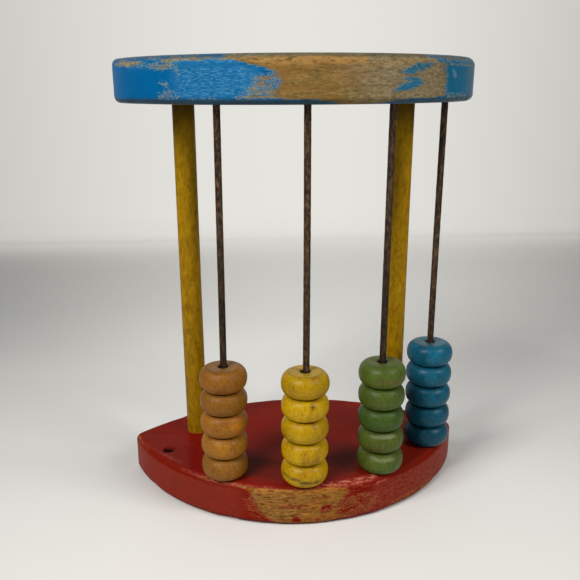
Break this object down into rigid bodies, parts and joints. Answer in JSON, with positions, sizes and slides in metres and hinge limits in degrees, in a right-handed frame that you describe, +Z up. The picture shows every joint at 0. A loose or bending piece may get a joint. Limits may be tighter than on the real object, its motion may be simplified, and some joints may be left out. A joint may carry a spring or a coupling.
{
  "type": "toy abacus",
  "caption": "Free-standing wooden toy abacus: two pointed boards held apart by dowel posts, with beads that slide on upright wires along the front arc.",
  "frame": {"origin": "on the base board's underside, midway on the line through its two points", "axes": "+Z up along the posts and wires, +X towards the right point, +Y towards the back; the beads are at the front, -Y"},
  "size_m": [0.1764, 0.1052, 0.2185],
  "materials": {
    "red_paint": "worn red paint over wood, satin",
    "blue_paint": "worn and chipped blue paint over wood, satin",
    "yellow_paint": "mustard yellow paint on dowel, satin",
    "rusted_wire": "dark brown rust, dull",
    "orange_stain": "orange-brown stain, satin",
    "yellow_stain": "yellow stain, satin",
    "green_stain": "olive green stain, satin",
    "blue_stain": "teal blue stain, satin"
  },
  "bodies": {
    "frame": {"base_board": "red_paint", "top_board": "blue_paint", "left_post": "yellow_paint", "right_post": "yellow_paint", "orange_wire": "rusted_wire", "yellow_wire": "rusted_wire", "green_wire": "rusted_wire", "blue_wire": "rusted_wire"},
    "orange_bead_1": {"orange_bead_1": "orange_stain"},
    "orange_bead_2": {"orange_bead_2": "orange_stain"},
    "orange_bead_3": {"orange_bead_3": "orange_stain"},
    "orange_bead_4": {"orange_bead_4": "orange_stain"},
    "orange_bead_5": {"orange_bead_5": "orange_stain"},
    "yellow_bead_1": {"yellow_bead_1": "yellow_stain"},
    "yellow_bead_2": {"yellow_bead_2": "yellow_stain"},
    "yellow_bead_3": {"yellow_bead_3": "yellow_stain"},
    "yellow_bead_4": {"yellow_bead_4": "yellow_stain"},
    "yellow_bead_5": {"yellow_bead_5": "yellow_stain"},
    "green_bead_1": {"green_bead_1": "green_stain"},
    "green_bead_2": {"green_bead_2": "green_stain"},
    "green_bead_3": {"green_bead_3": "green_stain"},
    "green_bead_4": {"green_bead_4": "green_stain"},
    "green_bead_5": {"green_bead_5": "green_stain"},
    "blue_bead_1": {"blue_bead_1": "blue_stain"},
    "blue_bead_2": {"blue_bead_2": "blue_stain"},
    "blue_bead_3": {"blue_bead_3": "blue_stain"},
    "blue_bead_4": {"blue_bead_4": "blue_stain"},
    "blue_bead_5": {"blue_bead_5": "blue_stain"}
  },
  "joints": [
    {"name": "orange_bead_1_slide", "type": "slide", "parent": "frame", "child": "orange_bead_1", "axis": [0, 0, 1], "range_m": [0, 0.024]},
    {"name": "orange_bead_2_slide", "type": "slide", "parent": "orange_bead_1", "child": "orange_bead_2", "axis": [0, 0, 1], "range_m": [0, 0.024]},
    {"name": "orange_bead_3_slide", "type": "slide", "parent": "orange_bead_2", "child": "orange_bead_3", "axis": [0, 0, 1], "range_m": [0, 0.024]},
    {"name": "orange_bead_4_slide", "type": "slide", "parent": "orange_bead_3", "child": "orange_bead_4", "axis": [0, 0, 1], "range_m": [0, 0.024]},
    {"name": "orange_bead_5_slide", "type": "slide", "parent": "orange_bead_4", "child": "orange_bead_5", "axis": [0, 0, 1], "range_m": [0, 0.024]},
    {"name": "yellow_bead_1_slide", "type": "slide", "parent": "frame", "child": "yellow_bead_1", "axis": [0, 0, 1], "range_m": [0, 0.024]},
    {"name": "yellow_bead_2_slide", "type": "slide", "parent": "yellow_bead_1", "child": "yellow_bead_2", "axis": [0, 0, 1], "range_m": [0, 0.024]},
    {"name": "yellow_bead_3_slide", "type": "slide", "parent": "yellow_bead_2", "child": "yellow_bead_3", "axis": [0, 0, 1], "range_m": [0, 0.024]},
    {"name": "yellow_bead_4_slide", "type": "slide", "parent": "yellow_bead_3", "child": "yellow_bead_4", "axis": [0, 0, 1], "range_m": [0, 0.024]},
    {"name": "yellow_bead_5_slide", "type": "slide", "parent": "yellow_bead_4", "child": "yellow_bead_5", "axis": [0, 0, 1], "range_m": [0, 0.024]},
    {"name": "green_bead_1_slide", "type": "slide", "parent": "frame", "child": "green_bead_1", "axis": [0, 0, 1], "range_m": [0, 0.024]},
    {"name": "green_bead_2_slide", "type": "slide", "parent": "green_bead_1", "child": "green_bead_2", "axis": [0, 0, 1], "range_m": [0, 0.024]},
    {"name": "green_bead_3_slide", "type": "slide", "parent": "green_bead_2", "child": "green_bead_3", "axis": [0, 0, 1], "range_m": [0, 0.024]},
    {"name": "green_bead_4_slide", "type": "slide", "parent": "green_bead_3", "child": "green_bead_4", "axis": [0, 0, 1], "range_m": [0, 0.024]},
    {"name": "green_bead_5_slide", "type": "slide", "parent": "green_bead_4", "child": "green_bead_5", "axis": [0, 0, 1], "range_m": [0, 0.024]},
    {"name": "blue_bead_1_slide", "type": "slide", "parent": "frame", "child": "blue_bead_1", "axis": [0, 0, 1], "range_m": [0, 0.024]},
    {"name": "blue_bead_2_slide", "type": "slide", "parent": "blue_bead_1", "child": "blue_bead_2", "axis": [0, 0, 1], "range_m": [0, 0.024]},
    {"name": "blue_bead_3_slide", "type": "slide", "parent": "blue_bead_2", "child": "blue_bead_3", "axis": [0, 0, 1], "range_m": [0, 0.024]},
    {"name": "blue_bead_4_slide", "type": "slide", "parent": "blue_bead_3", "child": "blue_bead_4", "axis": [0, 0, 1], "range_m": [0, 0.024]},
    {"name": "blue_bead_5_slide", "type": "slide", "parent": "blue_bead_4", "child": "blue_bead_5", "axis": [0, 0, 1], "range_m": [0, 0.024]}
  ]
}
